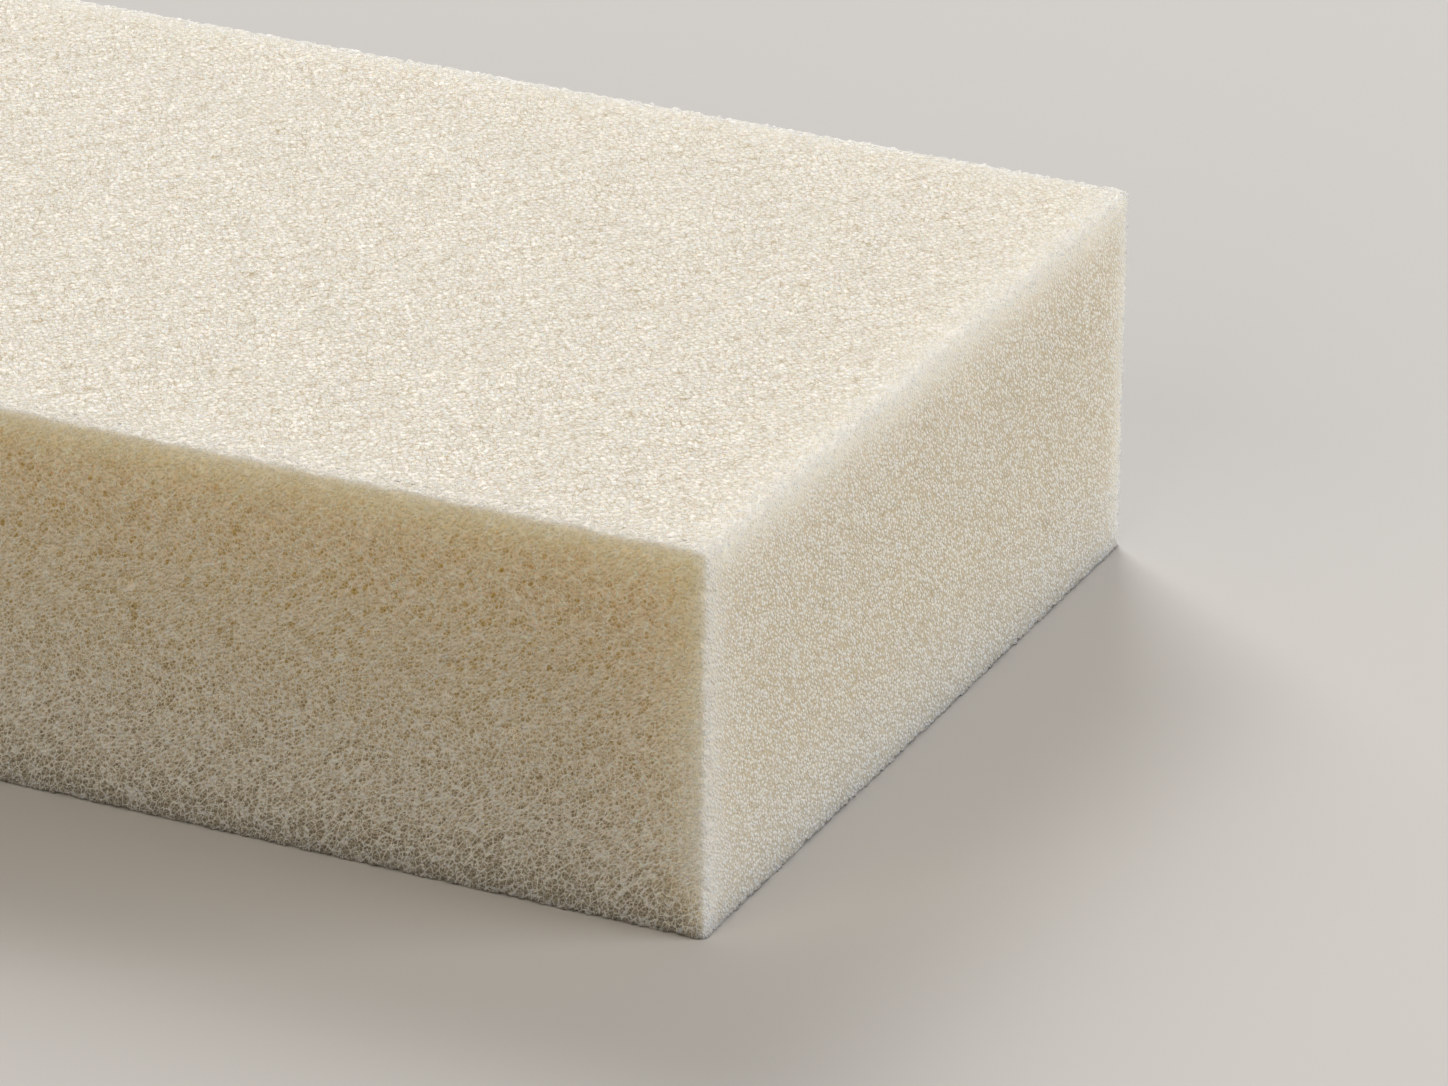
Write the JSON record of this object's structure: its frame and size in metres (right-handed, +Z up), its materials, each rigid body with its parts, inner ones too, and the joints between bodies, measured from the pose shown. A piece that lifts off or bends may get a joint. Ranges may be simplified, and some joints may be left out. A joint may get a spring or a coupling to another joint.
{
  "type": "foam block",
  "caption": "Rectangular block of cream open-cell foam, knife-cut square on all six faces.",
  "frame": {"origin": "middle of the block's base", "axes": "+X along the length, +Y along the width, +Z up through the thickness"},
  "size_m": [0.2, 0.125, 0.05],
  "materials": {
    "foam": "matte open-cell polyurethane foam, cream"
  },
  "bodies": {
    "root": {"foam_block": "foam"}
  },
  "joints": []
}
